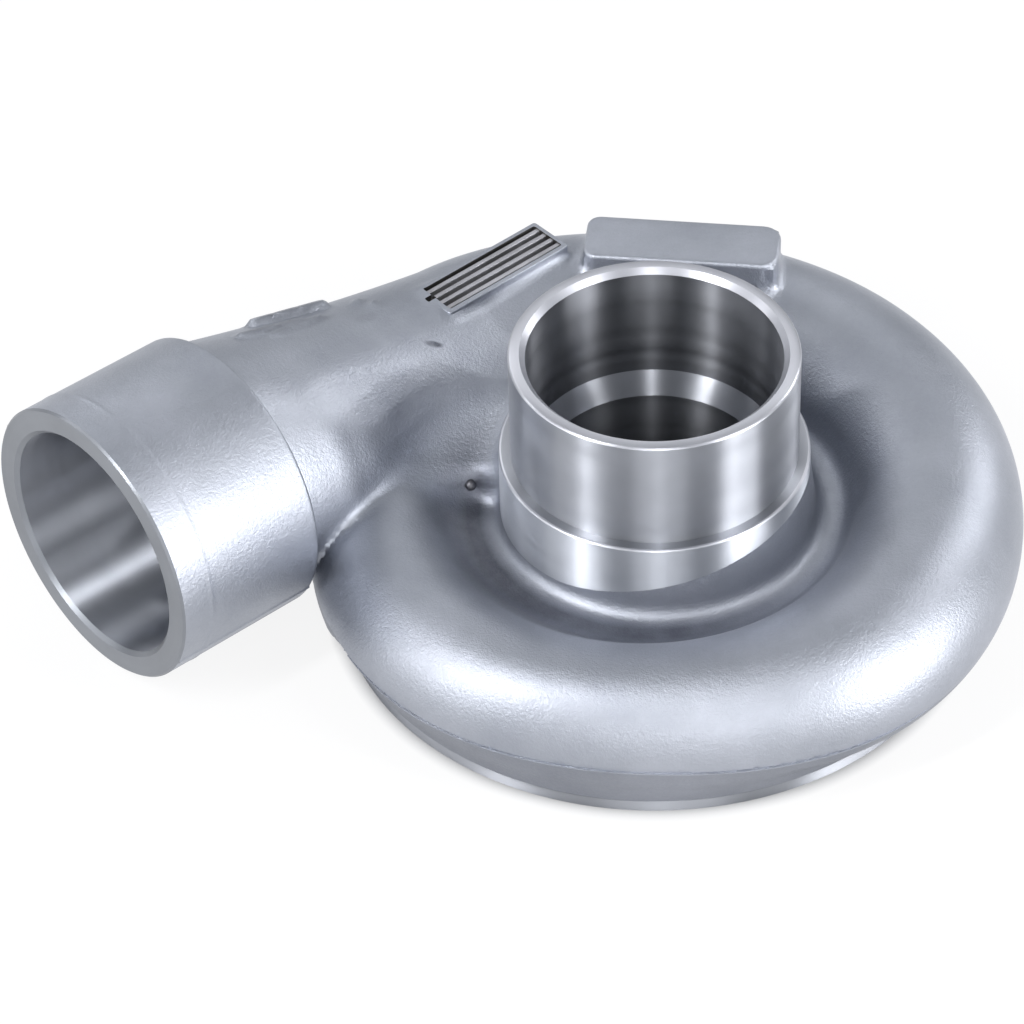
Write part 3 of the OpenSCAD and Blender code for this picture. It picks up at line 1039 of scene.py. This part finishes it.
# Flange edge and mounting face
combine(
    body,
    lathe(
        "flange_cut",
        [
            (0, -8),
            (130, -8),
            (130, FLANGE_TOP + 0.9),
            (FLANGE_R - 0.5, FLANGE_TOP + 0.9),
            (FLANGE_R - 0.5, FLANGE_TOP + 0.3),
            (FLANGE_R, FLANGE_TOP),
            (FLANGE_R, 0),
            (0, 0),
        ],
        [CAST] * 2 + [TURNED] * 5,
    ),
    "DIFFERENCE",
)

# Tapped holes of the mounting side
for k in range(SCREW_COUNT):
    a = 2 * math.pi * (k + 0.5) / SCREW_COUNT
    combine(
        body,
        lathe(
            "screw_hole",
            [
                (0, -0.5),
                (SCREW_R + 0.4, -0.5),
                (SCREW_R, 0.4),
                (SCREW_R, SCREW_DEPTH),
                (0, SCREW_DEPTH + 1.4),
            ],
            [TURNED] * 4,
            steps=24,
            place=moved(SCREW_PITCH_R * math.cos(a), SCREW_PITCH_R * math.sin(a), 0),
        ),
        "DIFFERENCE",
    )


def finish_mesh(obj, angle=32):
    """Smooth shading, with sharp edges at corners and where cast meets turned metal.

    Points that the cuts left less than three micrometres apart are merged first.
    """
    mesh = obj.data
    work = bmesh.new()
    work.from_mesh(mesh)
    bmesh.ops.remove_doubles(work, verts=work.verts, dist=3e-6)
    bmesh.ops.dissolve_degenerate(work, edges=work.edges, dist=3e-6)
    work.to_mesh(mesh)
    work.free()
    mesh.polygons.foreach_set("use_smooth", np.ones(len(mesh.polygons), dtype=bool))
    mesh.set_sharp_from_angle(angle=math.radians(angle))
    loops = np.empty(len(mesh.loops), dtype=np.int32)
    mesh.loops.foreach_get("edge_index", loops)
    sizes = np.empty(len(mesh.polygons), dtype=np.int32)
    mesh.polygons.foreach_get("loop_total", sizes)
    slots = np.empty(len(mesh.polygons), dtype=np.int32)
    mesh.polygons.foreach_get("material_index", slots)
    slots = np.repeat(slots, sizes)
    low = np.full(len(mesh.edges), 99)
    high = np.full(len(mesh.edges), -1)
    np.minimum.at(low, loops, slots)
    np.maximum.at(high, loops, slots)
    sharp = mesh.attributes.get("sharp_edge")
    if sharp is None:
        sharp = mesh.attributes.new("sharp_edge", "BOOLEAN", "EDGE")
    marks = np.empty(len(mesh.edges), dtype=bool)
    sharp.data.foreach_get("value", marks)
    sharp.data.foreach_set("value", marks | (low != high))
    mesh.update()


finish_mesh(body)
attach(body, "root")
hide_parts("compressor_housing")

# Floor and backdrop
def pale_rays(nodes, links, share):
    """The share of white for the rays that see the background: camera, mirror and glass."""
    path = nodes.new("ShaderNodeLightPath")
    total = path.outputs["Is Camera Ray"]
    for name in ("Is Glossy Ray", "Is Transmission Ray"):
        total = most_of(nodes, links, total, path.outputs[name])
    scaled = nodes.new("ShaderNodeMath")
    scaled.operation = "MULTIPLY"
    scaled.inputs[1].default_value = share
    links.new(total, scaled.inputs[0])
    return scaled.outputs[0]


def stage_material():
    """White floor with a painted shadow: dark under the part, so that its bore stays dark."""
    material = bpy.data.materials.new("studio_white")
    material.use_nodes = True
    nodes, links = material.node_tree.nodes, material.node_tree.links
    nodes.clear()
    out = nodes.new("ShaderNodeOutputMaterial")
    mix = nodes.new("ShaderNodeMixShader")
    diffuse = nodes.new("ShaderNodeBsdfDiffuse")
    glow = nodes.new("ShaderNodeEmission")
    glow.inputs["Strength"].default_value = 1.0
    place = nodes.new("ShaderNodeTexCoord").outputs["Object"]
    reach = vector_math(nodes, links, "LENGTH", place, None)
    beyond = span(nodes, links, reach.outputs["Value"], 0.112, 0.120, 0.0, 1.0)
    # Painted shadow: the floor's colour is dark under the part's foot and white beyond it
    shade = spread(
        nodes, links, beyond, [(0.0, (0.12, 0.12, 0.12)), (1.0, (0.82, 0.82, 0.83))]
    )
    links.new(shade, diffuse.inputs["Color"])
    shown = times(nodes, links, pale_rays(nodes, links, 0.86), beyond)
    links.new(shown, mix.inputs[0])
    links.new(diffuse.outputs[0], mix.inputs[1])
    links.new(glow.outputs[0], mix.inputs[2])
    links.new(mix.outputs[0], out.inputs[0])
    return material


FLOOR_HALF = 4.0
floor_mesh = bpy.data.meshes.new("studio_floor")
floor_mesh.from_pydata(
    [(FLOOR_HALF * i, FLOOR_HALF * j, 0) for i, j in ((-1, -1), (1, -1), (1, 1), (-1, 1))],
    [],
    [(0, 1, 2, 3)],
)
floor_mesh.materials.append(stage_material())
floor = bpy.data.objects.new("studio_floor", floor_mesh)
bpy.context.scene.collection.objects.link(floor)

# World: plain soft grey light from all round
world = bpy.data.worlds.new("studio_world")
bpy.context.scene.world = world
world.use_nodes = True
sky = world.node_tree.nodes["Background"]
sky.inputs["Color"].default_value = (0.93, 0.96, 1.0, 1)
sky.inputs["Strength"].default_value = 0.45


def area_light(name, place, target, size, power):
    data = bpy.data.lights.new(name, "AREA")
    data.shape = "RECTANGLE"
    data.size, data.size_y = size
    data.energy = power
    light = bpy.data.objects.new(name, data)
    light.location = place
    aim = Vector(target) - Vector(place)
    light.rotation_euler = aim.to_track_quat("-Z", "Y").to_euler()
    bpy.context.scene.collection.objects.link(light)


AIM = (0, 0, 0.06)
# Lamps round the part: name, azimuth from the camera's side, elevation, distance, size, power
for name, azimuth_deg, elevation_deg, distance, lamp_size, power in (
    ("soft_left", -66, 14, 2.2, (1.80, 0.90), 11.0),
    ("soft_front", 4, 13, 2.2, (1.40, 0.80), 12.0),
    ("soft_right", 62, 8, 2.0, (1.00, 0.90), 28.0),
    ("lamp_left", -52, 42, 1.35, (0.09, 0.80), 10.0),
    ("lamp_right", 59, 36, 1.35, (0.09, 0.80), 4.5),
    ("lamp_front", 3, 45, 2.00, (0.10, 0.90), 6.0),
    ("edge_left", -103, 30, 1.40, (0.08, 0.60), 1.8),
    ("edge_right", 122, 30, 1.40, (0.08, 0.60), 4.5),
    ("back_left", -138, 32, 1.50, (0.70, 0.50), 2.2),
    ("lamp_back", 178, 42, 1.50, (1.00, 0.50), 1.8),
):
    a, e = math.radians(azimuth_deg), math.radians(elevation_deg)
    spot = (
        AIM[0] + distance * math.sin(a) * math.cos(e),
        AIM[1] - distance * math.cos(a) * math.cos(e),
        AIM[2] + distance * math.sin(e),
    )
    area_light(name, spot, AIM, lamp_size, power)

# Camera at the photograph's angle
camera_data = bpy.data.cameras.new("camera")
camera_data.sensor_width = 36.0
camera_data.lens = 147.66
camera_data.shift_x = -0.1392
camera = bpy.data.objects.new("camera", camera_data)
camera.location = (0.0, -1.1154, 1.0445)
camera.rotation_euler = (math.radians(47.86), 0.0, 0.0)
bpy.context.scene.collection.objects.link(camera)
bpy.context.scene.camera = camera

bpy.context.scene.view_settings.view_transform = "Standard"
